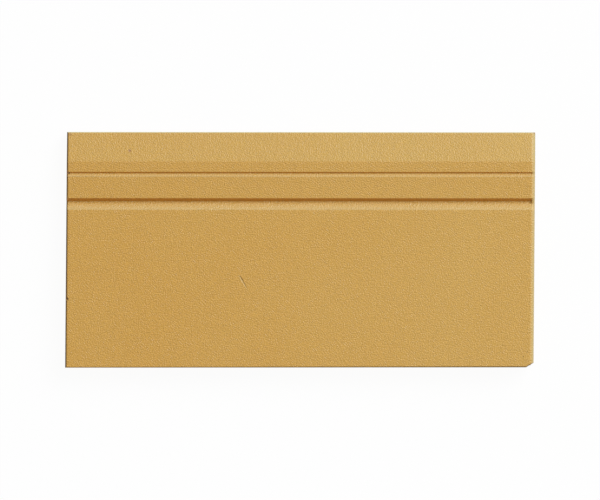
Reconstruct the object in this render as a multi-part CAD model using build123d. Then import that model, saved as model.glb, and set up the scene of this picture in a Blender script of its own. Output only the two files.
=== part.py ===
from build123d import *
import os
from math import radians, tan

# A moulded ceramic skirting tile, pressed and fired as one piece.
# It lies on its back with the face up: X runs along the tile, Y from the floor edge to the
# top edge, Z out of the face. The origin is in the bedding plane, at the middle of the back.
# All sizes are in millimetres.

# Plate
TILE_LENGTH = 200.0
TILE_HEIGHT = 100.0
TILE_THICKNESS = 10.0
TOP_EDGE_THICKNESS = 6.5

# Mouldings, as heights down the face from the top edge
WEATHERING_HEIGHT = 12.3
UPPER_BAND_HEIGHT = 4.5
SMALL_QUIRK_HEIGHT = 2.05
LOWER_BAND_HEIGHT = 9.1
LARGE_QUIRK_HEIGHT = 5.05

# Quirk grooves: a drafted wall on the upper side and a hollow that runs out on the lower side
SMALL_QUIRK_DEPTH = 0.8
SMALL_QUIRK_RADIUS = 6.0
LARGE_QUIRK_DEPTH = 2.0
LARGE_QUIRK_RADIUS = 14.0
QUIRK_WALL_DRAFT = 30.0

# Edges
LEFT_ARRIS_RADIUS = 1.0
RIGHT_ARRIS_RADIUS = 1.9
LONG_ARRIS_RADIUS = 0.6
BACK_CHAMFER = 0.8

# Adhesive key: shallow recesses in rows on the back
KEY_RECESS_LENGTH = 19.5
KEY_RECESS_HEIGHT = 18.5
KEY_RECESS_DEPTH = 0.8
KEY_RECESS_CORNER = 2.0
KEY_RECESS_DRAFT = 30.0
KEY_RIB = 4.0
KEY_LEAST_RIM = 6.0

# Corner broken off at the right-hand end of the floor edge
CHIP_LENGTH = 3.1
CHIP_HEIGHT = 1.9

# How far a cutter stands past the surface that it cuts
OVERCUT = 1.0

END_X = TILE_LENGTH / 2
TOP_Y = TILE_HEIGHT / 2
FLOOR_Y = -TILE_HEIGHT / 2
WEATHERING_FOOT_Y = TOP_Y - WEATHERING_HEIGHT
SMALL_QUIRK_Y = WEATHERING_FOOT_Y - UPPER_BAND_HEIGHT
LARGE_QUIRK_Y = SMALL_QUIRK_Y - SMALL_QUIRK_HEIGHT - LOWER_BAND_HEIGHT


def plate():
    """The plate with its weathered top, rounded face arrises and chamfered back edge."""
    with BuildSketch(Plane.YZ) as section:
        with BuildLine():
            Polyline(
                (FLOOR_Y, 0),
                (TOP_Y, 0),
                (TOP_Y, TOP_EDGE_THICKNESS),
                (WEATHERING_FOOT_Y, TILE_THICKNESS),
                (FLOOR_Y, TILE_THICKNESS),
                close=True,
            )
        make_face()
    body = extrude(section.sketch, amount=END_X, both=True)

    back_edges = body.faces().sort_by(Axis.Z)[0].edges()
    body = chamfer(back_edges, BACK_CHAMFER)

    for outward, radius in ((-Axis.X, LEFT_ARRIS_RADIUS), (Axis.X, RIGHT_ARRIS_RADIUS)):
        end_face = body.faces().sort_by(outward)[-1]
        body = fillet(front_arrises(end_face), radius)
    for outward in (Axis.Y, -Axis.Y):
        long_face = body.faces().sort_by(outward)[-1]
        body = fillet(front_arrises(long_face), LONG_ARRIS_RADIUS)
    return body


def front_arrises(side_face):
    """The edges of a side face that border the moulded face, and not the back or a corner."""
    sloping_or_level = side_face.edges().filter_by(Axis.Z, reverse=True)
    return [edge for edge in sloping_or_level if edge.center().Z > TOP_EDGE_THICKNESS / 2]


def quirk(top_y, height, depth, hollow_radius):
    """Cutter for one quirk, right through the tile from end to end."""
    wall_run = depth * tan(radians(QUIRK_WALL_DRAFT))
    root = (top_y - wall_run, TILE_THICKNESS - depth)
    run_out = (top_y - height, TILE_THICKNESS)
    clear_z = TILE_THICKNESS + OVERCUT
    with BuildSketch(Plane.YZ) as section:
        with BuildLine():
            Polyline((run_out[0], clear_z), (top_y, clear_z), (top_y, TILE_THICKNESS), root)
            RadiusArc(root, run_out, hollow_radius)
            Line(run_out, (run_out[0], clear_z))
        make_face()
    return extrude(section.sketch, amount=END_X + OVERCUT, both=True)


def key_count(span, recess):
    """How many recesses of this size fit on a span of the back, inside the plain rim."""
    return int((span - 2 * KEY_LEAST_RIM + KEY_RIB) // (recess + KEY_RIB))


def adhesive_key():
    """Cutters for the shallow recesses that adhesive grips, with drafted walls."""
    pitch_x = KEY_RECESS_LENGTH + KEY_RIB
    pitch_y = KEY_RECESS_HEIGHT + KEY_RIB
    columns = key_count(TILE_LENGTH, KEY_RECESS_LENGTH)
    rows = key_count(TILE_HEIGHT, KEY_RECESS_HEIGHT)
    with BuildSketch() as openings:
        with GridLocations(pitch_x, pitch_y, columns, rows):
            RectangleRounded(KEY_RECESS_LENGTH, KEY_RECESS_HEIGHT, KEY_RECESS_CORNER)
    return extrude(openings.sketch, amount=KEY_RECESS_DEPTH, taper=KEY_RECESS_DRAFT)


def broken_corner():
    """Prism of the corner that is missing from the floor edge."""
    with BuildSketch(Plane.XY.offset(-OVERCUT)) as outline:
        with BuildLine():
            Polyline(
                (END_X, FLOOR_Y),
                (END_X, FLOOR_Y + CHIP_HEIGHT),
                (END_X - CHIP_LENGTH, FLOOR_Y),
                close=True,
            )
        make_face()
    return extrude(outline.sketch, amount=TILE_THICKNESS + 2 * OVERCUT)


tile = plate()
tile -= quirk(SMALL_QUIRK_Y, SMALL_QUIRK_HEIGHT, SMALL_QUIRK_DEPTH, SMALL_QUIRK_RADIUS)
tile -= quirk(LARGE_QUIRK_Y, LARGE_QUIRK_HEIGHT, LARGE_QUIRK_DEPTH, LARGE_QUIRK_RADIUS)
tile -= adhesive_key()
tile -= broken_corner()

os.makedirs("parts", exist_ok=True)
export_step(tile, "parts/skirting_tile.step")
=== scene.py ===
"""A moulded ceramic skirting tile, lying on its back in a plain studio."""

from collections import namedtuple
from math import asin, atan2, cos, pi, radians, sin, sqrt, tan

import bmesh
import bpy
from bpy.props import FloatProperty, FloatVectorProperty, PointerProperty
from bpy.types import Operator, Panel, PropertyGroup
from mathutils import Euler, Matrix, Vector


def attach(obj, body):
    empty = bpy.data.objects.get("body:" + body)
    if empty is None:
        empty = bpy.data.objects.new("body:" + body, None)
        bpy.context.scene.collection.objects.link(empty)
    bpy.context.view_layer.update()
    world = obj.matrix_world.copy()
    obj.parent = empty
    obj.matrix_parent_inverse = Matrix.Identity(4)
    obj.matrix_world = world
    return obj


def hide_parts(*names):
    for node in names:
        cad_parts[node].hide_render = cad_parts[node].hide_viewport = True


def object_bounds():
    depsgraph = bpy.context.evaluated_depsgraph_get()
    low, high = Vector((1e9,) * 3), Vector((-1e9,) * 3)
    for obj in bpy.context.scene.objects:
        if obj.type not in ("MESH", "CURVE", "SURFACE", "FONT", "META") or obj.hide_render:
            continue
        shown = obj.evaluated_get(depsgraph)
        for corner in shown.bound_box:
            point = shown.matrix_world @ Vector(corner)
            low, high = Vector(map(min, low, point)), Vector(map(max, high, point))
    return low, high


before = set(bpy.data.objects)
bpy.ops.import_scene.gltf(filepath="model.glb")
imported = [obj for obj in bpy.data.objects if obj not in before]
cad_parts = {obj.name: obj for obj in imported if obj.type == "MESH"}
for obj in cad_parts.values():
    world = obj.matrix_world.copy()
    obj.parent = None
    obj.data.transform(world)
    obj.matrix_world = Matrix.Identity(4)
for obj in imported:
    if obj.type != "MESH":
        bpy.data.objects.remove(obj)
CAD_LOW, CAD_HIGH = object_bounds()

bl_info = {
    "name": "Skirting Tile",
    "version": (1, 0, 0),
    "blender": (4, 5, 0),
    "location": "3D View > Sidebar > Skirting Tile",
    "description": "Models a moulded unglazed skirting tile and sets a plain studio around it",
    "category": "Add Mesh",
}

TILE_NODE = "skirting_tile"
CAD_SIZE = CAD_HIGH - CAD_LOW

# Meshes are worked in millimetres and brought to metres at the end, because Blender's
# modelling tools weld and clamp at fixed distances that are coarse for a small object.
MILLIMETRE = 0.001
# Distance within which two places are the same, in millimetres
TOUCH = 0.001
# How far a cutter stands past what it cuts, in millimetres
OVERCUT = 1.0
# Faces that turn less than this are one flat face
FLAT_TURN = radians(0.05)
# Faces that turn less than this are shaded as one rounded surface
SMOOTH_TURN = radians(32.0)
# Bevel profile of a quarter circle
ROUND_PROFILE = 0.5
# Steps of the rounded edges, sides of the roller that cuts a quirk, and detail of a scoop
FOOT_STEPS = 4
ARRIS_STEPS = 6
END_STEPS = 6
QUIRK_ARRIS_STEPS = 3
KEY_CORNER_STEPS = 5
ROLLER_SIDES = 360
SCOOP_DETAIL = 3
# How much the faces on either side of a quirk's edge look up or down the face
QUIRK_FLAT = 0.05
QUIRK_STEEP = 0.2
# Share of a quirk's hollow that is left at the lip of the right-hand end, and the length, in
# millimetres, in which the rest closes
LIP_SHARE = 0.72
LIP_RISE = 0.03

# Damage, in millimetres on the face from the middle of the tile
CHIP_LENGTH = 3.1
CHIP_HEIGHT = 1.9
CHIP_CUTS = 20
CHIP_LUMP = 0.9
CHIP_LUMP_DETAIL = 3
CHIP_RELIEF = 0.35
CHIP_LEAN = radians(3.0)
SPALL_SHARE = 0.65
SPALL_DEPTH = 1.0
SPALL_LEAN = radians(-25.0)
SCRATCH_TOP = (-25.95, -10.8)
SCRATCH_END = (-22.1, -17.45)
SCRATCH_WIDTH = 0.8
SCRATCH_DEPTH = 0.25
GOUGE_SHARE = 0.57
GOUGE_WIDTH = 1.3
GOUGE_DEPTH = 0.40
Nick = namedtuple("Nick", "x y z length height depth")
NICKS = (
    Nick(-99.3, -20.85, 9.7, 1.1, 1.7, 1.1),
    Nick(-100.0, 32.7, 9.5, 3.1, 1.5, 1.6),
)
Pinhole = namedtuple("Pinhole", "x y width")
PINHOLES = (
    Pinhole(87.1, 30.4, 0.45),
    Pinhole(77.3, -23.8, 0.45),
    Pinhole(95.5, -45.5, 0.52),
    Pinhole(97.2, -43.5, 0.52),
    Pinhole(-80.9, 22.4, 0.5),
)
DarkSpot = namedtuple("DarkSpot", "x y radius amount")
# Dark spots on the face. The first two are burnt iron specks; the other three are painted shade, on
# the top right-hand corner, in the notch where the small quirk runs over the left arris, and in the
# nick on the left arris.
SPECKS_AND_SHADE_SPOTS = (
    DarkSpot(-72.2, 42.05, 0.9, 1.0),
    DarkSpot(-97.6, 48.95, 0.95, 0.55),
    DarkSpot(99.35, 49.55, 0.6, 0.8),
    DarkSpot(-98.9, 32.6, 1.0, 1.0),
    DarkSpot(-98.8, -20.7, 0.7, 0.9),
)

# Grain and clouds of the clay, in metres
GRANULE_SIZE = 0.18 * MILLIMETRE
WARM_CLOUD_SIZE = 1.4 * MILLIMETRE
# Clouds that break up the painted sheen on the face
FACE_SHEEN_CLOUD_SIZE = 45.0 * MILLIMETRE
FACE_SHEEN_CLOUD_DETAIL = 3.0
RAGGED_SIZE = 0.9 * MILLIMETRE
RELIEF_SIZE = 0.5 * MILLIMETRE
RELIEF_DETAIL = 0.0
RELIEF_HEIGHT = 0.22 * MILLIMETRE
BREAK_RELIEF_HEIGHT = 2.0 * RELIEF_HEIGHT
# Share of the relief that is left on the sloped top
SLOPE_RELIEF = 0.8

# Gloss, where the skin's roughness runs from its dark granules to its light ones
SKIN_ROUGHNESS = (0.44, 0.56)
SKIN_IOR = 1.75
BREAK_ROUGHNESS = 0.85
# Roughness under the painted shade of the arrises
ARRIS_SHADE_ROUGHNESS = 0.95

# How much of each colour lies on the clay
WARM_AMOUNT = 0.18
# Painted sheen on the face, the bands and the sloped top, paler towards the lamp
FACE_SHEEN_AMOUNT = 0.11
FACE_SHEEN_BAND_AMOUNT = 0.10
FACE_SHEEN_SLOPE_AMOUNT = 0.135
FACE_SHEEN_CLOUD_SHARE = 0.35
# Painted sheen in the hollows of the quirks
COVE_SHEEN_AMOUNT = 0.45
# Painted shade in the roots of the hollows
ROOT_SHADE_AMOUNT = 0.5
# Painted highlights on the right-hand arris and on the top arris
END_HIGHLIGHT_AMOUNT = 0.6
TOP_HIGHLIGHT_AMOUNT = 1.0
# Painted shade on the walls of the quirks
WALL_SHADE_AMOUNT = 0.8
# Painted shade on the left-hand and floor arrises, which turn away from the lamp
LEFT_SHADE_AMOUNT = 1.0
FLOOR_SHADE_AMOUNT = 0.93
# Share of the floor arris's painted shade that is left at the left-hand end
FLOOR_SHADE_LEAST = 0.15
# Share of a mask that comes and goes from place to place
RAGGED_SHARE = 0.25
# Share of the tile's length that counts as its left-hand end
LEFT_END_SHARE = 0.05

# Where each mask of the finish starts and where it is full. Out, up and across are the parts of
# a face's normal out of the tile, to its top edge and to its right-hand end.
FACE_OUT = (0.05, 0.35)
BRINK_OUT = (0.0, 0.12)
BAND_OUT = (0.97, 0.99)
# The masks below paint sheen, shade and highlights by which way a face looks
COVE_SHEEN_UP = (0.36, 0.56)
ROOT_SHADE_UP_START = (0.12, 0.22)
ROOT_SHADE_UP_STOP = (0.47, 0.31)
END_HIGHLIGHT_ACROSS = (0.1, 0.9)
TOP_HIGHLIGHT_UP = (0.3, 0.55)
WALL_SHADE_UP = (-0.3, -0.7)
WALL_SHADE_ACROSS = (0.3, 0.12)
LEFT_SHADE_ACROSS = (-0.36, -0.58)
FLOOR_SHADE_UP = (-0.05, -0.4)
# The part of a noise that is spread over a whole mask
CLOUD_SPREAD = (0.3, 0.7)
WARM_SPREAD = (0.35, 0.65)

# Layout of the nodes, and the places of the colour sockets on a Mix node
NODE_STEP = (200.0, -60.0)
NODE_ROWS = 5
MIX_FIRST = 6
MIX_SECOND = 7
MIX_RESULT = 2

# Studio
FLOOR_SIZE = 40.0
FLOOR_GLOW = 0.95
# Makes up for the weaker light of the outer parts of a large lamp
LAMP_GAIN = 1.04
SENSOR_WIDTH = 36.0
WHITE = (1.0, 1.0, 1.0)


# Settings

def length_setting(name, millimetres, description):
    """A length that the sidebar shows in scene units."""
    return FloatProperty(
        name=name,
        description=description,
        default=millimetres * MILLIMETRE,
        min=0.0,
        unit="LENGTH",
        precision=5,
    )


def colour_setting(name, colour, description):
    """A linear colour."""
    return FloatVectorProperty(
        name=name,
        description=description,
        default=colour,
        min=0.0,
        max=1.0,
        size=3,
        subtype="COLOR",
    )


def angle_setting(name, turn, description):
    """An angle, given in degrees."""
    return FloatProperty(
        name=name,
        description=description,
        default=radians(turn),
        subtype="ANGLE",
        unit="ROTATION",
    )


class TileSizes(PropertyGroup):
    """Sizes of the tile, with its mouldings measured down the face from the top edge."""

    length: length_setting("Length", CAD_SIZE.x / MILLIMETRE, "End to end")
    height: length_setting("Height", CAD_SIZE.y / MILLIMETRE, "Floor edge to top edge")
    thickness: length_setting("Thickness", CAD_SIZE.z / MILLIMETRE, "Bedding plane to face")
    top_edge: length_setting("Top Edge", 6.5, "Thickness at the top edge")
    weathering: length_setting("Weathering", 12.45, "Height of the sloped top")
    upper_band: length_setting("Upper Band", 4.5, "Height of the flat above the small quirk")
    small_quirk: length_setting("Small Quirk", 2.05, "Height of the small quirk")
    small_depth: length_setting("Small Quirk Depth", 0.77, "Depth at the root")
    small_radius: length_setting("Small Quirk Radius", 6.0, "Radius of the hollow")
    lower_band: length_setting("Lower Band", 9.1, "Height of the flat between the quirks")
    large_quirk: length_setting("Large Quirk", 4.97, "Height of the large quirk")
    large_depth: length_setting("Large Quirk Depth", 2.0, "Depth at the root")
    large_radius: length_setting("Large Quirk Radius", 14.0, "Radius of the hollow")
    quirk_draft: angle_setting("Quirk Draft", 30.0, "Lean of the wall on a quirk's upper side")
    left_arris: length_setting("Left Arris", 1.0, "Rounding of the face at the left-hand end")
    right_arris: length_setting("Right Arris", 1.8, "Rounding of the face at the right-hand end")
    left_lip: length_setting("Left Lip", 0.68, "Part of the left arris that follows the quirks")
    right_lip: length_setting("Right Lip", 1.32, "Part of the right arris where the quirks close")
    long_arris: length_setting("Long Arris", 0.6, "Rounding of the face at the long edges")
    foot_arris: length_setting("Weathering Foot", 0.3, "Softening where the slope meets the flat")
    plan_corner: length_setting("Plan Corner", 0.15, "Rounding of the four upright corners")
    quirk_arris: length_setting("Quirk Arris", 0.18, "Softening of the edges of the quirks")
    back_chamfer: length_setting("Back Chamfer", 0.8, "Chamfer round the back")
    key_length: length_setting("Key Recess Length", 19.5, "Length of one recess in the back")
    key_height: length_setting("Key Recess Height", 18.5, "Height of one recess in the back")
    key_depth: length_setting("Key Recess Depth", 0.8, "Depth of the recesses in the back")
    key_corner: length_setting("Key Recess Corner", 2.0, "Corner radius of the recesses")
    key_draft: angle_setting("Key Recess Draft", 30.0, "Lean of the walls of the recesses")
    key_rib: length_setting("Key Rib", 4.0, "Width of the ribs between the recesses")
    key_rim: length_setting("Key Rim", 6.0, "Least plain rim round the recesses")
    end_lean: length_setting("End Lean", 0.8, "How far firing leaned the ends out of square")
    end_taper: length_setting("End Taper", 0.33, "How much shorter firing made the right-hand end")
    left_draw: length_setting("Left Draw", 0.37, "How far firing drew in the left-hand end")
    right_draw: length_setting("Right Draw", 0.13, "How far firing drew in the right-hand end")


class TileColours(PropertyGroup):
    """Linear colours of the fired clay, and of the sheen, highlights and shade painted on it."""

    light_granule: colour_setting("Light Granules", (0.65, 0.345, 0.033), "Palest clay granules")
    # Also the colour of the painted shade in the roots of the hollows and on the break
    dark_granule_and_shade: colour_setting("Dark Granules", (0.40, 0.205, 0.004), "Darkest clay granules")
    warm_clay: colour_setting("Warm Clay", (0.56, 0.25, 0.028), "Redder cloud in the clay")
    # Pale colour of the painted sheen on the face
    face_sheen_clay: colour_setting("Flashed Clay", (0.66, 0.60, 0.225), "Clay that fired paler")
    # Painted shade that tones down the lamp-lit sloped top
    slope_shade_tint: colour_setting("Ledge Tint", (0.90, 0.932, 0.857), "Tint of the sloped top")
    band_tint: colour_setting("Band Tint", (0.978, 0.966, 0.905), "Tint of the two flat bands")
    # Painted sheen in the hollows that look up towards the lamp
    cove_sheen: colour_setting("Dust", (0.56, 0.46, 0.22), "Dust in the hollows of the quirks")
    # Painted highlight on the right-hand arris
    end_highlight: colour_setting("Rubbed End", (0.43, 0.42, 0.22), "Rubbed clay on the right arris")
    # Painted highlight on the top arris
    top_highlight: colour_setting("Rubbed Top", (0.53, 0.45, 0.195), "Rubbed clay on the top arris")
    # Painted shade: the deep reddish colour of the shaded quirk walls
    wall_shade: colour_setting("Soil", (0.61, 0.21, 0.002), "Soil on the walls of the quirks")
    # Painted shade on the arrises that turn away from the lamp
    arris_shade: colour_setting("Grime", (0.075, 0.031, 0.001), "Grime on the left and floor arrises")
    # Burnt iron specks, and spots of painted shade
    dark_spot: colour_setting("Iron Spot", (0.22, 0.075, 0.018), "Burnt speck of iron")
    # Painted shade: the darkened clay of the break, which turns away from the lamp
    shaded_break: colour_setting("Worn Break", (0.40, 0.26, 0.10), "Soiled clay of the old break")


class StudioSettings(PropertyGroup):
    """The plain studio: one soft lamp, even surrounding light, a pale floor and a camera."""

    lamp_tilt: angle_setting("Lamp Tilt", 50.0, "Angle of the lamp from overhead")
    lamp_turn: angle_setting("Lamp Turn", 45.0, "Turn of the lamp from the top edge to the right")
    lamp_distance: length_setting("Lamp Distance", 6000.0, "Distance of the lamp")
    lamp_size: length_setting("Lamp Size", 3800.0, "Side of the square lamp")
    lamp_share: FloatProperty(
        name="Lamp Share",
        description="Share of the light on a level surface that comes from the lamp",
        default=0.6,
        min=0.0,
        max=1.0,
        subtype="FACTOR",
    )
    floor_colour: colour_setting("Floor", (0.88, 0.88, 0.88), "Pale floor")
    lens: FloatProperty(
        name="Lens",
        description="Focal length of the camera",
        default=800.0,
        min=1.0,
        unit="CAMERA",
    )
    field_width: length_setting("Field Width", 254.45, "Width of the picture at the tile's face")
    field_drop: length_setting("Field Drop", 0.07, "Middle of the picture below the tile's")


# Selecting and shaping

def make_active(piece):
    """Selects one object and nothing else."""
    bpy.ops.object.select_all(action="DESELECT")
    piece.select_set(True)
    bpy.context.view_layer.objects.active = piece


def start_piece(name):
    """Names the primitive just added and opens it for editing with its place in its mesh."""
    piece = bpy.context.active_object
    piece.name = name
    piece.data.name = name
    bpy.ops.object.transform_apply(location=True, rotation=True, scale=True)
    bpy.ops.object.mode_set(mode="EDIT")
    return piece


def add_block(name, low, high):
    """A box between two corners, open for editing."""
    low = Vector(low)
    high = Vector(high)
    bpy.ops.object.select_all(action="DESELECT")
    bpy.ops.mesh.primitive_cube_add(size=1.0, location=(low + high) / 2)
    bpy.context.active_object.scale = high - low
    return start_piece(name)


def close_piece():
    """Leaves edit mode."""
    bpy.ops.object.mode_set(mode="OBJECT")


def choose(piece, kind, test):
    """Selects the points, edges or faces of a piece in edit mode that pass a test.

    It is an error if none of them does.
    """
    bpy.ops.mesh.select_mode(type=kind)
    bpy.ops.mesh.select_all(action="DESELECT")
    shape = bmesh.from_edit_mesh(piece.data)
    parts = {"VERT": shape.verts, "EDGE": shape.edges, "FACE": shape.faces}[kind]
    chosen = [part for part in parts if test(part)]
    if not chosen:
        raise RuntimeError(f"no {kind.lower()} to choose on {piece.name}")
    for part in chosen:
        part.select_set(True)
    shape.select_flush_mode()
    bmesh.update_edit_mesh(piece.data)


def edge_test(test):
    """Turns a test of a point's place into a test of both ends of an edge."""
    return lambda edge: all(test(point.co) for point in edge.verts)


def bevel_chosen(offset, segments):
    """Rounds the selected edges, or chamfers them if there is one segment."""
    bpy.ops.mesh.bevel(
        offset=offset,
        offset_type="OFFSET",
        segments=segments,
        profile=ROUND_PROFILE,
        affect="EDGES",
        clamp_overlap=False,
    )


def slice_piece(place, normal, keep_inside=False):
    """Cuts all of the piece by a plane. keep_inside drops what lies on the normal's side."""
    bpy.ops.mesh.select_all(action="SELECT")
    bpy.ops.mesh.bisect(
        plane_co=place,
        plane_no=normal,
        use_fill=keep_inside,
        clear_outer=keep_inside,
        threshold=TOUCH,
    )


def carve(piece, cutter):
    """Takes a cutter out of a piece, and the cutter out of the scene."""
    make_active(piece)
    modifier = piece.modifiers.new(cutter.name, "BOOLEAN")
    modifier.operation = "DIFFERENCE"
    modifier.solver = "EXACT"
    modifier.material_mode = "TRANSFER"
    modifier.object = cutter
    bpy.ops.object.modifier_apply(modifier=modifier.name)
    bpy.data.meshes.remove(cutter.data)


# The tile's forms

TILE_ANGLES = ("quirk_draft", "key_draft")
Quirk = namedtuple("Quirk", "top_y height depth radius")
End = namedtuple("End", "outward radius lip_turn")


class Section:
    """The tile's sizes in millimetres, with the stations of its mouldings."""

    def __init__(self, sizes):
        for name in TileSizes.__annotations__:
            unit = 1.0 if name in TILE_ANGLES else MILLIMETRE
            setattr(self, name, getattr(sizes, name) / unit)
        self.end_x = self.length / 2
        self.top_y = self.height / 2
        self.floor_y = -self.top_y
        self.foot_y = self.top_y - self.weathering
        self.slope = atan2(self.thickness - self.top_edge, self.weathering)
        # Points of an end above this height belong to the face
        self.face_side_z = self.top_edge / 2
        small_y = self.foot_y - self.upper_band
        self.band_y = small_y - self.small_quirk - self.lower_band
        self.quirks = (
            Quirk(small_y, self.small_quirk, self.small_depth, self.small_radius),
            Quirk(self.band_y, self.large_quirk, self.large_depth, self.large_radius),
        )
        self.ends = (
            End(-1.0, self.left_arris, asin(1.0 - self.left_lip / self.left_arris)),
            End(1.0, self.right_arris, asin(1.0 - self.right_lip / self.right_arris)),
        )


def press_plate(section):
    """The plate without its ends: a block with a sloped top and rounded long arrises."""
    plate = add_block(
        TILE_NODE + "_body",
        (section.left_arris - section.end_x, section.floor_y, 0.0),
        (section.end_x - section.right_arris, section.top_y, section.thickness),
    )
    slice_piece((0.0, section.foot_y, 0.0), (0.0, 1.0, 0.0))

    def on_top_edge(place):
        return place.y > section.top_y - TOUCH and place.z > section.top_edge - TOUCH

    def on_floor_edge(place):
        return place.y < section.floor_y + TOUCH and place.z > section.thickness - TOUCH

    def on_foot(place):
        return abs(place.y - section.foot_y) < TOUCH and place.z > section.thickness - TOUCH

    choose(plate, "VERT", lambda point: on_top_edge(point.co))
    bpy.ops.transform.translate(value=(0.0, 0.0, section.top_edge - section.thickness))
    top_turn = pi / 2 - section.slope
    arrises = (
        (on_foot, section.foot_arris, FOOT_STEPS),
        (on_floor_edge, section.long_arris, ARRIS_STEPS),
        (on_top_edge, section.long_arris * tan(top_turn / 2), ARRIS_STEPS),
    )
    for on_arris, offset, steps in arrises:
        choose(plate, "EDGE", edge_test(on_arris))
        bevel_chosen(offset, steps)
    bpy.ops.mesh.select_all(action="SELECT")
    bpy.ops.mesh.dissolve_limited(angle_limit=FLAT_TURN)
    close_piece()
    return plate


def extrude_end(plate, end, at_x):
    """Extrudes the flat end of the plate to a station, and returns a test for the points there."""
    shape = bmesh.from_edit_mesh(plate.data)
    advance = at_x - max(point.co.x * end.outward for point in shape.verts)
    choose(plate, "FACE", lambda face: face.normal.x * end.outward > 1.0 - TOUCH)
    bpy.ops.mesh.extrude_region_move(
        TRANSFORM_OT_translate={"value": (end.outward * advance, 0.0, 0.0)}
    )
    return lambda point: point.co.x * end.outward > at_x - TOUCH


def draw_out_end(plate, section, end, from_turn, to_turn):
    """Extrudes an end in steps, each lower and narrower, along part of the round of its arris."""
    turn = from_turn
    half_height = section.top_y
    for step in range(1, END_STEPS + 1):
        next_turn = from_turn + (to_turn - from_turn) * step / END_STEPS
        lower = end.radius * (cos(turn) - cos(next_turn))
        turn = next_turn
        at_x = section.end_x - end.radius * (1.0 - sin(turn))
        at_end = extrude_end(plate, end, at_x)
        choose(plate, "VERT", lambda point: at_end(point) and point.co.z > section.face_side_z)
        bpy.ops.transform.translate(value=(0.0, 0.0, -lower))
        past_corner = max(0.0, section.plan_corner - (section.end_x - at_x))
        inset = section.plan_corner - sqrt(section.plan_corner ** 2 - past_corner ** 2)
        narrower = (section.top_y - inset) / half_height
        half_height = section.top_y - inset
        choose(plate, "VERT", at_end)
        bpy.ops.transform.resize(value=(1.0, narrower, 1.0), center_override=(0.0, 0.0, 0.0))


def run_out_quirks(plate, section, end):
    """Closes the quirks from here to the end, by drawing their roots towards where they run out."""
    lip_x = section.end_x - end.radius * (1.0 - sin(end.lip_turn))
    at_end = extrude_end(plate, end, lip_x + LIP_RISE)
    face_z = section.thickness - end.radius * (1.0 - cos(end.lip_turn))
    for quirk in section.quirks:
        root_y = quirk.top_y - quirk.depth * tan(section.quirk_draft)
        run_out_y = quirk.top_y - quirk.height

        def in_hollow(place):
            below_face = section.face_side_z < place.z < face_z
            return run_out_y < place.y < root_y + TOUCH and below_face

        choose(plate, "VERT", lambda point: at_end(point) and in_hollow(point.co))
        bpy.ops.transform.resize(
            value=(1.0, LIP_SHARE, LIP_SHARE),
            center_override=(0.0, run_out_y, face_z),
        )


def mould_ends(plate, section):
    """Draws out the part of each end that the quirks are cut through."""
    make_active(plate)
    bpy.ops.object.mode_set(mode="EDIT")
    for end in section.ends:
        draw_out_end(plate, section, end, 0.0, end.lip_turn)
    close_piece()


def finish_ends(plate, section):
    """Draws out the lips, which follow the quirks, and chamfers the four edges of the back."""
    make_active(plate)
    bpy.ops.object.mode_set(mode="EDIT")
    left, right = section.ends
    draw_out_end(plate, section, left, left.lip_turn, pi / 2)
    run_out_quirks(plate, section, right)
    draw_out_end(plate, section, right, right.lip_turn, pi / 2)
    end_x = section.end_x - section.back_chamfer
    side_y = section.top_y - section.back_chamfer
    for outward in (-1.0, 1.0):
        slice_piece((outward * end_x, 0.0, 0.0), (outward, 0.0, -1.0), keep_inside=True)
        slice_piece((0.0, outward * side_y, 0.0), (0.0, outward, -1.0), keep_inside=True)
    close_piece()


def quirk_cutter(section, quirk):
    """A long roller that hollows out one quirk, cut off along the quirk's drafted wall."""
    wall_run = quirk.depth * tan(section.quirk_draft)
    root = Vector((0.0, quirk.top_y - wall_run, section.thickness - quirk.depth))
    run_out = Vector((0.0, quirk.top_y - quirk.height, section.thickness))
    chord = run_out - root
    to_axis = Vector((0.0, chord.z, -chord.y)).normalized()
    lift = sqrt(quirk.radius ** 2 - (chord.length / 2) ** 2)
    bpy.ops.object.select_all(action="DESELECT")
    bpy.ops.mesh.primitive_cylinder_add(
        vertices=ROLLER_SIDES,
        radius=quirk.radius,
        depth=section.length + 2.0 * OVERCUT,
        location=(root + run_out) / 2 + lift * to_axis,
        rotation=(0.0, pi / 2, 0.0),
    )
    roller = start_piece("quirk_roller")
    wall_normal = (0.0, cos(section.quirk_draft), -sin(section.quirk_draft))
    slice_piece(root, wall_normal, keep_inside=True)
    close_piece()
    return roller


def soften_quirk(tile, section, quirk):
    """Takes the sharpness off the two long edges of a quirk."""
    low_y = quirk.top_y - quirk.height

    def on_quirk_arris(edge):
        if len(edge.link_faces) != 2 or abs(edge.verts[0].co.x - edge.verts[1].co.x) < TOUCH:
            return False
        place = (edge.verts[0].co + edge.verts[1].co) / 2
        flat, steep = sorted((abs(face.normal.y) for face in edge.link_faces))
        near = low_y - OVERCUT < place.y < quirk.top_y + OVERCUT
        return near and flat < QUIRK_FLAT and steep > QUIRK_STEEP

    make_active(tile)
    bpy.ops.object.mode_set(mode="EDIT")
    choose(tile, "EDGE", on_quirk_arris)
    bevel_chosen(section.quirk_arris, QUIRK_ARRIS_STEPS)
    close_piece()


def recess_count(span, recess, section):
    """How many recesses fit on a span of the back, inside the plain rim."""
    free = span - 2.0 * section.key_rim + section.key_rib
    return int(free // (recess + section.key_rib))


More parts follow.
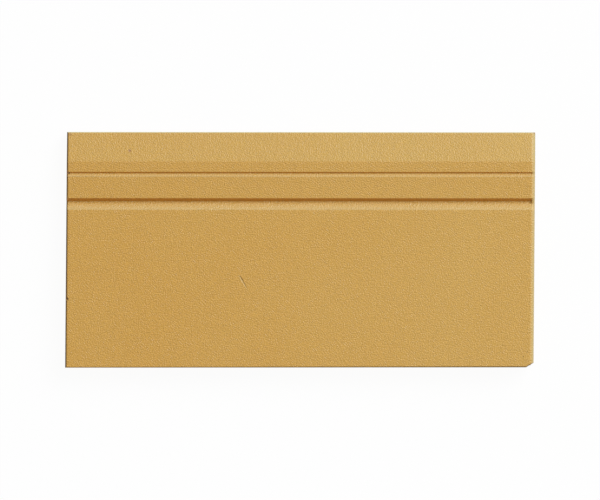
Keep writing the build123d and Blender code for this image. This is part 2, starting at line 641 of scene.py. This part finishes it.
def key_cutter(section):
    """The shallow drafted recesses in the back, modelled once and copied in rows."""
    columns = recess_count(section.length, section.key_length, section)
    rows = recess_count(section.height, section.key_height, section)
    pitch_x = section.key_length + section.key_rib
    pitch_y = section.key_height + section.key_rib
    first = Vector((-pitch_x * (columns - 1) / 2, -pitch_y * (rows - 1) / 2, 0.0))
    half = Vector((section.key_length / 2, section.key_height / 2, 0.0))
    below = Vector((0.0, 0.0, OVERCUT))
    root = Vector((0.0, 0.0, section.key_depth))
    recess = add_block("key_recess", first - half - below, first + half + root)

    def is_upright(edge):
        return abs(edge.verts[0].co.z - edge.verts[1].co.z) > section.key_depth

    choose(recess, "EDGE", is_upright)
    bevel_chosen(section.key_corner, KEY_CORNER_STEPS)
    lean = tan(section.key_draft)
    for facing, spread in ((-1.0, OVERCUT * lean), (1.0, -section.key_depth * lean)):
        choose(recess, "FACE", lambda face: face.normal.z * facing > 1.0 - TOUCH)
        bpy.ops.transform.resize(
            value=(1.0 + spread / half.x, 1.0 + spread / half.y, 1.0),
            center_override=first,
        )
    close_piece()
    arrays = (
        ("columns", columns, (pitch_x, 0.0, 0.0)),
        ("rows", rows, (0.0, pitch_y, 0.0)),
    )
    for name, count, step in arrays:
        copies = recess.modifiers.new(name, "ARRAY")
        copies.count = count
        copies.use_relative_offset = False
        copies.use_constant_offset = True
        copies.constant_offset_displace = step
        bpy.ops.object.modifier_apply(modifier=name)
    return recess


def break_cutter(name, section, height, lean, share):
    """A rough, leaning block on the line where the corner broke off.

    Its face crosses that line at a height, and covers a share of the line from the floor edge.
    """
    along = Vector((CHIP_LENGTH, CHIP_HEIGHT, 0.0))
    size = Vector((along.length * share + 2.0 * OVERCUT, along.length, 2.0 * section.thickness))
    turned = Euler((lean, 0.0, atan2(along.y, along.x))).to_matrix()
    start = Vector((section.end_x - CHIP_LENGTH, section.floor_y, height))
    middle = start + along * share / 2 - turned @ Vector((0.0, size.y / 2, 0.0))
    bpy.ops.object.select_all(action="DESELECT")
    bpy.ops.mesh.primitive_cube_add(size=1.0, location=middle, rotation=turned.to_euler())
    bpy.context.active_object.scale = size
    block = start_piece(name)
    bpy.ops.mesh.select_all(action="SELECT")
    bpy.ops.mesh.subdivide(number_cuts=CHIP_CUTS)
    close_piece()
    rough = bpy.data.textures.new(name, "CLOUDS")
    rough.noise_scale = CHIP_LUMP
    rough.noise_depth = CHIP_LUMP_DETAIL
    uneven = block.modifiers.new("uneven", "DISPLACE")
    uneven.texture = rough
    uneven.texture_coords = "LOCAL"
    uneven.strength = CHIP_RELIEF
    bpy.ops.object.modifier_apply(modifier="uneven")
    return block


def chip_cutters(section):
    """The corner at the right of the floor edge, and a flake off the face beside it."""
    yield break_cutter("chip", section, section.thickness, CHIP_LEAN, 1.0)
    yield break_cutter("spall", section, section.thickness - SPALL_DEPTH, SPALL_LEAN, SPALL_SHARE)


def scoop_cutter(name, place, size):
    """A small rounded cutter, from a ball of unit width."""
    bpy.ops.object.select_all(action="DESELECT")
    bpy.ops.mesh.primitive_ico_sphere_add(subdivisions=SCOOP_DETAIL, radius=0.5, location=place)
    bpy.context.active_object.scale = size
    scoop = start_piece(name)
    close_piece()
    return scoop


def groove_cutter(name, section, start, run, width, depth):
    """A pyramid on its tip, which cuts a groove that tapers to both ends of a run on the face.

    Half its height stands in the clay, and there it is one unit long and wide before it is scaled.
    """
    middle = start + run / 2
    bpy.ops.object.select_all(action="DESELECT")
    bpy.ops.mesh.primitive_cone_add(
        vertices=4,
        radius1=1.0,
        radius2=0.0,
        depth=1.0,
        location=(middle.x, middle.y, section.thickness),
        rotation=(pi, 0.0, atan2(run.y, run.x)),
    )
    bpy.context.active_object.scale = (run.length, width, 2.0 * depth)
    groove = start_piece(name)
    close_piece()
    return groove


def scratch_cutters(section):
    """The scratch on the field: a shallow line, dug deeper over its upper part."""
    start = Vector(SCRATCH_TOP)
    run = Vector(SCRATCH_END) - start
    yield groove_cutter("scratch", section, start, run, SCRATCH_WIDTH, SCRATCH_DEPTH)
    yield groove_cutter("gouge", section, start, run * GOUGE_SHARE, GOUGE_WIDTH, GOUGE_DEPTH)


def mark_cutters(section):
    """Every small cutter that marks the skin: the scratch, the nicks and the pinholes."""
    yield from scratch_cutters(section)
    for nick in NICKS:
        size = (nick.length, nick.height, nick.depth)
        yield scoop_cutter("nick", (nick.x, nick.y, nick.z), size)
    for hole in PINHOLES:
        size = (hole.width, hole.width, hole.width)
        yield scoop_cutter("pinhole", (hole.x, hole.y, section.thickness), size)


def warp_in_firing(tile, section):
    """Leans the ends, draws them in and tapers one, by a cage with a point at each corner."""
    bpy.ops.object.select_all(action="DESELECT")
    bpy.ops.object.add(type="LATTICE", location=(0.0, 0.0, section.thickness / 2))
    cage = bpy.context.active_object
    cage.scale = (section.length, section.height, section.thickness)
    for direction in "uvw":
        setattr(cage.data, "points_" + direction, 2)
        setattr(cage.data, "interpolation_type_" + direction, "KEY_LINEAR")
    lean = section.end_lean / section.length
    left_draw = section.left_draw / section.length
    right_draw = section.right_draw / section.length
    taper = section.end_taper / section.height / 2
    for point in cage.data.points:
        at_right = point.co.x > 0.0
        at_top = point.co.y > 0.0
        if at_right:
            point.co_deform.x -= right_draw + (0.0 if at_top else lean)
            point.co_deform.y += -taper if at_top else taper
        else:
            point.co_deform.x += left_draw + (lean if at_top else 0.0)
    make_active(tile)
    warp = tile.modifiers.new("firing", "LATTICE")
    warp.object = cage
    bpy.context.view_layer.update()
    bpy.ops.object.modifier_apply(modifier="firing")
    bpy.data.lattices.remove(cage.data)


def finish_mesh(tile):
    """Welds the tile, brings it to metres and smooths its rounded edges."""
    make_active(tile)
    bpy.ops.object.mode_set(mode="EDIT")
    bpy.ops.mesh.select_all(action="SELECT")
    bpy.ops.mesh.remove_doubles(threshold=TOUCH)
    bpy.ops.mesh.dissolve_degenerate(threshold=TOUCH)
    close_piece()
    tile.scale = (MILLIMETRE, MILLIMETRE, MILLIMETRE)
    bpy.ops.object.transform_apply(location=True, rotation=True, scale=True)
    bpy.ops.object.shade_smooth_by_angle(angle=SMOOTH_TURN)
    weighted = tile.modifiers.new("weighted", "WEIGHTED_NORMAL")
    weighted.keep_sharp = True
    bpy.ops.object.modifier_apply(modifier="weighted")


# Materials

class NodeSheet:
    """Adds nodes to a tree, one column after another, and links them."""

    def __init__(self, tree):
        self.tree = tree
        self.column = 0

    def add(self, kind, **settings):
        """A new node with its settings."""
        node = self.tree.nodes.new(kind)
        step_x, step_y = NODE_STEP
        node.location = (step_x * self.column, step_y * (self.column % NODE_ROWS))
        self.column += 1
        for name, value in settings.items():
            setattr(node, name, value)
        return node

    def feed(self, socket, source):
        """Links a socket to another one, or sets its value."""
        if isinstance(source, bpy.types.NodeSocket):
            self.tree.links.new(source, socket)
        else:
            socket.default_value = source

    def math(self, operation, *sources):
        """The result of one calculation."""
        node = self.add("ShaderNodeMath", operation=operation)
        for socket, source in zip(node.inputs, sources):
            self.feed(socket, source)
        return node.outputs[0]

    def mix(self, factor, first, second, blend="MIX"):
        """A mix of two colours."""
        node = self.add("ShaderNodeMix", data_type="RGBA", blend_type=blend)
        self.feed(node.inputs["Factor"], factor)
        self.feed(node.inputs[MIX_FIRST], first)
        self.feed(node.inputs[MIX_SECOND], second)
        return node.outputs[MIX_RESULT]

    def ramp(self, value, low, high, to_low=0.0, to_high=1.0):
        """A value carried from one range to another and clamped there."""
        node = self.add("ShaderNodeMapRange", clamp=True)
        for socket, source in zip(node.inputs, (value, low, high, to_low, to_high)):
            self.feed(socket, source)
        return node.outputs[0]

    def noise(self, vector, size, detail=2.0):
        """Soft noise with lumps of about one size."""
        node = self.add("ShaderNodeTexNoise")
        self.feed(node.inputs["Vector"], vector)
        node.inputs["Scale"].default_value = 1.0 / size
        node.inputs["Detail"].default_value = detail
        return node.outputs[0]

    def cells(self, vector, size):
        """Voronoi cells of about one size, each with its own random colour."""
        node = self.add("ShaderNodeTexVoronoi", feature="F1")
        self.feed(node.inputs["Vector"], vector)
        node.inputs["Scale"].default_value = 1.0 / size
        return node.outputs["Color"]

    def split(self, source):
        """The three parts of a vector or a colour."""
        node = self.add("ShaderNodeSeparateXYZ")
        self.feed(node.inputs[0], source)
        return node.outputs


def colour(setting):
    """A setting's colour with full alpha, as a colour socket takes it."""
    return (*setting, 1.0)


def new_group(name, inputs, outputs):
    """An empty shader node group with named sockets, and the sheet to fill it."""
    tree = bpy.data.node_groups.new(name, "ShaderNodeTree")
    for socket_name, socket_type in inputs:
        tree.interface.new_socket(name=socket_name, in_out="INPUT", socket_type=socket_type)
    for socket_name, socket_type in outputs:
        tree.interface.new_socket(name=socket_name, in_out="OUTPUT", socket_type=socket_type)
    sheet = NodeSheet(tree)
    return tree, sheet, sheet.add("NodeGroupInput"), sheet.add("NodeGroupOutput")


def granule_group():
    """Pressed clay: the tone of each granule, warm clouds and the height of the rough skin."""
    tree, sheet, given, result = new_group(
        "Clay granules",
        (("Vector", "NodeSocketVector"),),
        (
            ("Tone", "NodeSocketFloat"),
            ("Warmth", "NodeSocketFloat"),
            ("Height", "NodeSocketFloat"),
        ),
    )
    place = given.outputs["Vector"]
    shades = sheet.cells(place, GRANULE_SIZE)
    sheet.feed(result.inputs["Tone"], sheet.split(shades)[0])
    clouds = sheet.noise(place, WARM_CLOUD_SIZE)
    sheet.feed(result.inputs["Warmth"], sheet.ramp(clouds, *WARM_SPREAD))
    sheet.feed(result.inputs["Height"], sheet.noise(place, RELIEF_SIZE, RELIEF_DETAIL))
    return tree


def new_material(name):
    """An empty surface with its shader, and the sheet to fill it."""
    material = bpy.data.materials.new(name)
    material.use_nodes = True
    material.node_tree.nodes.clear()
    sheet = NodeSheet(material.node_tree)
    shader = sheet.add("ShaderNodeBsdfPrincipled")
    output = sheet.add("ShaderNodeOutputMaterial")
    sheet.feed(output.inputs["Surface"], shader.outputs["BSDF"])
    return material, sheet, shader


def place_group(sheet, tree, **inputs):
    """Puts a node group on a sheet and feeds its inputs by name."""
    node = sheet.add("ShaderNodeGroup", node_tree=tree)
    for name, source in inputs.items():
        sheet.feed(node.inputs[name], source)
    return node.outputs


def raise_surface(sheet, shader, height, distance):
    """Feeds a height to the shader's normal."""
    bump = sheet.add("ShaderNodeBump")
    bump.inputs["Distance"].default_value = distance
    sheet.feed(bump.inputs["Height"], height)
    sheet.feed(shader.inputs["Normal"], bump.outputs["Normal"])


class Surroundings:
    """Where a point of the tile lies and which way its surface looks, as masks from 0 to 1."""

    def __init__(self, sheet, section):
        self.sheet = sheet
        coordinates = sheet.add("ShaderNodeTexCoord")
        self.place = coordinates.outputs["Object"]
        self.x, self.y, _ = sheet.split(self.place)
        end_x = section.end_x * MILLIMETRE
        self.along = sheet.ramp(self.x, -end_x, end_x)
        self.across, self.up, self.out = sheet.split(coordinates.outputs["Normal"])
        self.on_face = sheet.ramp(self.out, *FACE_OUT)
        self.on_brink = sheet.ramp(self.out, *BRINK_OUT)
        foot_y = section.foot_y * MILLIMETRE
        softening = section.foot_arris * MILLIMETRE
        self.on_slope = sheet.ramp(self.y, foot_y - softening, foot_y + softening)
        self.below_slope = sheet.math("SUBTRACT", 1.0, self.on_slope)
        self.band_y = section.band_y * MILLIMETRE
        self.above_middle = sheet.math("GREATER_THAN", self.y, 0.0)
        self.at_left = sheet.math("LESS_THAN", self.along, LEFT_END_SHARE)
        self.ragged = sheet.noise(self.place, RAGGED_SIZE)

    def all_of(self, first, *others):
        """Where all of these masks overlap."""
        overlap = first
        for mask in others:
            overlap = self.sheet.math("MULTIPLY", overlap, mask)
        return overlap

    def rough_margin(self, mask, amount):
        """A mask times an amount that varies from place to place."""
        least = amount * (1.0 - RAGGED_SHARE)
        return self.all_of(mask, self.sheet.ramp(self.ragged, *CLOUD_SPREAD, least, amount))


def face_sheen_mask(around):
    """Painted sheen: the face is paler towards the right-hand end, on the lamp's side, and a little
    more so on the sloped top, in soft clouds.
    """
    sheet = around.sheet
    clouds = sheet.noise(around.place, FACE_SHEEN_CLOUD_SIZE, FACE_SHEEN_CLOUD_DETAIL)
    clouds = sheet.ramp(clouds, *CLOUD_SPREAD)
    mask = sheet.ramp(FACE_SHEEN_CLOUD_SHARE, 0.0, 1.0, around.along, clouds)
    fade_y = around.band_y / 2
    field = sheet.ramp(around.y, fade_y, around.band_y, FACE_SHEEN_AMOUNT, FACE_SHEEN_BAND_AMOUNT)
    amount = sheet.ramp(around.on_slope, 0.0, 1.0, field, FACE_SHEEN_SLOPE_AMOUNT)
    return around.all_of(mask, amount)


def band_mask(around):
    """The flats of the two bands between the large quirk and the slope."""
    above_quirk = around.sheet.math("GREATER_THAN", around.y, around.band_y)
    flat = around.sheet.ramp(around.out, *BAND_OUT)
    return around.all_of(above_quirk, around.below_slope, flat)


def root_shade_mask(around):
    """Painted shade: darker clay in the roots of the hollows, under the quirk walls."""
    start = around.sheet.ramp(around.up, *ROOT_SHADE_UP_START)
    stop = around.sheet.ramp(around.up, *ROOT_SHADE_UP_STOP)
    return around.rough_margin(around.all_of(start, stop, around.below_slope), ROOT_SHADE_AMOUNT)


def cove_sheen_mask(around):
    """Painted sheen: pale colour on the outer part of the hollows, which looks up towards the lamp.
    """
    hollows = around.sheet.ramp(around.up, *COVE_SHEEN_UP)
    return around.rough_margin(around.all_of(hollows, around.below_slope), COVE_SHEEN_AMOUNT)


def end_highlight_mask(around):
    """Painted highlight: pale clay on the right-hand arris, which turns towards the lamp."""
    arris = around.sheet.ramp(around.across, *END_HIGHLIGHT_ACROSS)
    return around.rough_margin(around.all_of(arris, around.on_face), END_HIGHLIGHT_AMOUNT)


def top_highlight_mask(around):
    """Painted highlight: pale clay on the top arris, which looks up towards the lamp."""
    arris = around.sheet.ramp(around.up, *TOP_HIGHLIGHT_UP)
    arris = around.all_of(arris, around.on_face, around.on_slope)
    return around.rough_margin(arris, TOP_HIGHLIGHT_AMOUNT)


def wall_shade_mask(around):
    """Painted shade on the walls of the quirks, which turn away from the lamp, taken off where they
    round over at the right-hand end towards it.
    """
    walls = around.sheet.ramp(around.up, *WALL_SHADE_UP)
    unworn = around.sheet.ramp(around.across, *WALL_SHADE_ACROSS)
    return around.rough_margin(around.all_of(walls, around.above_middle, unworn), WALL_SHADE_AMOUNT)


def arris_shade_mask(around):
    """Painted shade on the left-hand arris and, more towards the right-hand end, on the floor
    arris: both turn away from the lamp.
    """
    sheet = around.sheet
    left = sheet.ramp(around.across, *LEFT_SHADE_ACROSS)
    left = around.all_of(left, around.at_left, around.on_brink)
    floor = sheet.ramp(around.up, *FLOOR_SHADE_UP)
    below_middle = sheet.math("SUBTRACT", 1.0, around.above_middle)
    more = sheet.ramp(around.along, 0.0, 1.0, FLOOR_SHADE_LEAST, 1.0)
    floor = around.all_of(floor, around.on_brink, below_middle, more)
    return sheet.math(
        "MAXIMUM",
        around.rough_margin(left, LEFT_SHADE_AMOUNT),
        around.rough_margin(floor, FLOOR_SHADE_AMOUNT),
    )


def dark_spot_mask(around, spot):
    """One dark spot on the face, for a burnt iron speck and for a spot of painted shade alike."""
    sheet = around.sheet
    x_gap = sheet.math("SUBTRACT", around.x, spot.x * MILLIMETRE)
    y_gap = sheet.math("SUBTRACT", around.y, spot.y * MILLIMETRE)
    x_square = sheet.math("MULTIPLY", x_gap, x_gap)
    y_square = sheet.math("MULTIPLY", y_gap, y_gap)
    gap = sheet.math("SQRT", sheet.math("ADD", x_square, y_square))
    speck = sheet.ramp(gap, spot.radius * MILLIMETRE, 0.0, 0.0, spot.amount)
    return around.all_of(speck, around.on_brink)


def pressed_clay(section, colours, granules):
    """The fired skin of the tile: matt and granular, with iron specks, and with sheen, highlights
    and shade painted on it.
    """
    material, sheet, shader = new_material("pressed_clay")
    around = Surroundings(sheet, section)
    grain = place_group(sheet, granules, Vector=around.place)
    clay = sheet.mix(grain["Tone"], colour(colours.dark_granule_and_shade), colour(colours.light_granule))
    warmth = sheet.math("MULTIPLY", grain["Warmth"], WARM_AMOUNT)
    clay = sheet.mix(warmth, clay, colour(colours.warm_clay))
    # Painted sheen on the face, stronger towards the lamp
    clay = sheet.mix(face_sheen_mask(around), clay, colour(colours.face_sheen_clay))
    # Painted shade on the sloped top
    clay = sheet.mix(around.on_slope, clay, colour(colours.slope_shade_tint), blend="MULTIPLY")
    clay = sheet.mix(band_mask(around), clay, colour(colours.band_tint), blend="MULTIPLY")
    # Painted shade in the roots of the hollows
    clay = sheet.mix(root_shade_mask(around), clay, colour(colours.dark_granule_and_shade))
    # Painted sheen in the hollows
    clay = sheet.mix(cove_sheen_mask(around), clay, colour(colours.cove_sheen))
    # Painted highlight on the right-hand arris
    clay = sheet.mix(end_highlight_mask(around), clay, colour(colours.end_highlight))
    # Painted highlight on the top arris
    clay = sheet.mix(top_highlight_mask(around), clay, colour(colours.top_highlight))
    # Painted shade on the quirk walls
    clay = sheet.mix(wall_shade_mask(around), clay, colour(colours.wall_shade))
    # Painted shade on the left-hand and floor arrises
    arris_shade = arris_shade_mask(around)
    clay = sheet.mix(arris_shade, clay, colour(colours.arris_shade))
    # Iron specks, and spots of painted shade
    for spot in SPECKS_AND_SHADE_SPOTS:
        clay = sheet.mix(dark_spot_mask(around, spot), clay, colour(colours.dark_spot))
    sheet.feed(shader.inputs["Base Color"], clay)
    roughness = sheet.ramp(grain["Tone"], 0.0, 1.0, *SKIN_ROUGHNESS)
    roughness = sheet.ramp(arris_shade, 0.0, 1.0, roughness, ARRIS_SHADE_ROUGHNESS)
    sheet.feed(shader.inputs["Roughness"], roughness)
    shader.inputs["IOR"].default_value = SKIN_IOR
    relief = sheet.ramp(around.on_slope, 0.0, 1.0, 1.0, SLOPE_RELIEF)
    height = sheet.math("MULTIPLY", grain["Height"], relief)
    raise_surface(sheet, shader, height, RELIEF_HEIGHT)
    return material


def broken_clay(colours, granules):
    """Clay laid bare where the corner is chipped off: open and dull, and darkened with painted
    shade, as the break turns away from the lamp.
    """
    material, sheet, shader = new_material("broken_clay")
    place = sheet.add("ShaderNodeTexCoord").outputs["Object"]
    grain = place_group(sheet, granules, Vector=place)
    clay = sheet.mix(grain["Tone"], colour(colours.dark_granule_and_shade), colour(colours.shaded_break))
    sheet.feed(shader.inputs["Base Color"], clay)
    shader.inputs["Roughness"].default_value = BREAK_ROUGHNESS
    raise_surface(sheet, shader, grain["Height"], BREAK_RELIEF_HEIGHT)
    return material


# Stage

def background_rays(sheet):
    """One for the rays that show the background: those of the camera, gloss and glass."""
    path = sheet.add("ShaderNodeLightPath").outputs
    shown = sheet.math("MAXIMUM", path["Is Camera Ray"], path["Is Glossy Ray"])
    return sheet.math("MAXIMUM", shown, path["Is Transmission Ray"])


def floor_paint(floor_colour):
    """A pale floor that the camera sees as white but for the shadow on it."""
    material = bpy.data.materials.new("floor_paint")
    material.use_nodes = True
    material.node_tree.nodes.clear()
    sheet = NodeSheet(material.node_tree)
    paint = sheet.add("ShaderNodeBsdfDiffuse")
    paint.inputs["Color"].default_value = colour(floor_colour)
    glow = sheet.add("ShaderNodeEmission")
    blend = sheet.add("ShaderNodeMixShader")
    sheet.feed(blend.inputs[0], sheet.math("MULTIPLY", background_rays(sheet), FLOOR_GLOW))
    sheet.feed(blend.inputs[1], paint.outputs[0])
    sheet.feed(blend.inputs[2], glow.outputs[0])
    output = sheet.add("ShaderNodeOutputMaterial")
    sheet.feed(output.inputs["Surface"], blend.outputs[0])
    return material


def lay_floor(floor_colour):
    """The level floor under the tile."""
    bpy.ops.object.select_all(action="DESELECT")
    bpy.ops.mesh.primitive_plane_add(size=FLOOR_SIZE, location=(0.0, 0.0, CAD_LOW.z))
    floor = bpy.context.active_object
    floor.name = "floor"
    floor.data.materials.append(floor_paint(floor_colour))


def light_world(strength):
    """Even light all round, which the camera sees as white."""
    world = bpy.data.worlds.new("studio")
    world.use_nodes = True
    world.node_tree.nodes.clear()
    sheet = NodeSheet(world.node_tree)
    sky = sheet.add("ShaderNodeBackground")
    sky.inputs["Color"].default_value = colour(WHITE)
    level = sheet.ramp(background_rays(sheet), 0.0, 1.0, strength, 1.0)
    sheet.feed(sky.inputs["Strength"], level)
    output = sheet.add("ShaderNodeOutputWorld")
    sheet.feed(output.inputs["Surface"], sky.outputs[0])
    bpy.context.scene.world = world


def hang_lamp(studio):
    """A square soft lamp that faces the tile, at the level where colours look as written."""
    reach = sin(studio.lamp_tilt)
    toward = Vector((
        reach * sin(studio.lamp_turn),
        reach * cos(studio.lamp_turn),
        cos(studio.lamp_tilt),
    ))
    bpy.ops.object.light_add(type="AREA", location=toward * studio.lamp_distance)
    lamp = bpy.context.active_object
    lamp.name = "soft_lamp"
    lamp.rotation_euler = toward.to_track_quat("Z", "Y").to_euler()
    lamp.visible_camera = False
    lamp.data.shape = "SQUARE"
    lamp.data.size = studio.lamp_size
    # The power at which the lamp alone would show a level white surface as white
    level = pi ** 2 * studio.lamp_distance ** 2 / cos(studio.lamp_tilt)
    lamp.data.energy = studio.lamp_share * level * LAMP_GAIN


def set_camera(studio):
    """A camera straight above the tile, which frames the face as the picture does."""
    distance = studio.field_width * studio.lens / SENSOR_WIDTH
    place = (0.0, -studio.field_drop, CAD_HIGH.z + distance)
    bpy.ops.object.camera_add(location=place, rotation=(0.0, 0.0, 0.0))
    camera = bpy.context.active_object
    camera.name = "camera"
    camera.data.lens = studio.lens
    camera.data.sensor_width = SENSOR_WIDTH
    bpy.context.scene.camera = camera


# Add-on

class SKIRTING_OT_press_tile(Operator):
    """Model the skirting tile with its mouldings, key, damage and fired clay"""

    bl_idname = "skirting.press_tile"
    bl_label = "Press Tile"

    def execute(self, context):
        section = Section(context.scene.skirting_sizes)
        colours = context.scene.skirting_colours
        granules = granule_group()
        skin = pressed_clay(section, colours, granules)
        bare = broken_clay(colours, granules)

        tile = press_plate(section)
        tile.data.materials.append(skin)
        mould_ends(tile, section)
        for quirk in section.quirks:
            roller = quirk_cutter(section, quirk)
            roller.data.materials.append(skin)
            carve(tile, roller)
            soften_quirk(tile, section, quirk)
        finish_ends(tile, section)
        key = key_cutter(section)
        key.data.materials.append(skin)
        carve(tile, key)
        for cutter in mark_cutters(section):
            cutter.data.materials.append(skin)
            carve(tile, cutter)
        for cutter in chip_cutters(section):
            cutter.data.materials.append(bare)
            carve(tile, cutter)
        warp_in_firing(tile, section)
        finish_mesh(tile)

        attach(tile, "root")
        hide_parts(TILE_NODE)
        return {"FINISHED"}


class SKIRTING_OT_set_stage(Operator):
    """Lay the floor, hang the lamp and set the camera"""

    bl_idname = "skirting.set_stage"
    bl_label = "Set Stage"

    def execute(self, context):
        studio = context.scene.skirting_studio
        context.scene.view_settings.view_transform = "Standard"
        lay_floor(studio.floor_colour)
        light_world(1.0 - studio.lamp_share)
        hang_lamp(studio)
        set_camera(studio)
        return {"FINISHED"}


class SKIRTING_PT_tile(Panel):
    """Sizes, colours and studio of the skirting tile"""

    bl_idname = "SKIRTING_PT_tile"
    bl_label = "Skirting Tile"
    bl_space_type = "VIEW_3D"
    bl_region_type = "UI"
    bl_category = "Skirting Tile"

    def draw(self, context):
        scene = context.scene
        for settings in (scene.skirting_sizes, scene.skirting_colours, scene.skirting_studio):
            box = self.layout.box()
            for name in type(settings).__annotations__:
                box.prop(settings, name)
        self.layout.operator(SKIRTING_OT_press_tile.bl_idname)
        self.layout.operator(SKIRTING_OT_set_stage.bl_idname)


CLASSES = (
    TileSizes,
    TileColours,
    StudioSettings,
    SKIRTING_OT_press_tile,
    SKIRTING_OT_set_stage,
    SKIRTING_PT_tile,
)


def register():
    for kind in CLASSES:
        bpy.utils.register_class(kind)
    bpy.types.Scene.skirting_sizes = PointerProperty(type=TileSizes)
    bpy.types.Scene.skirting_colours = PointerProperty(type=TileColours)
    bpy.types.Scene.skirting_studio = PointerProperty(type=StudioSettings)


def unregister():
    del bpy.types.Scene.skirting_studio
    del bpy.types.Scene.skirting_colours
    del bpy.types.Scene.skirting_sizes
    for kind in reversed(CLASSES):
        bpy.utils.unregister_class(kind)


def main():
    """Builds the tile and its stage."""
    register()
    bpy.ops.skirting.press_tile()
    bpy.ops.skirting.set_stage()


if __name__ == "__main__":
    main()
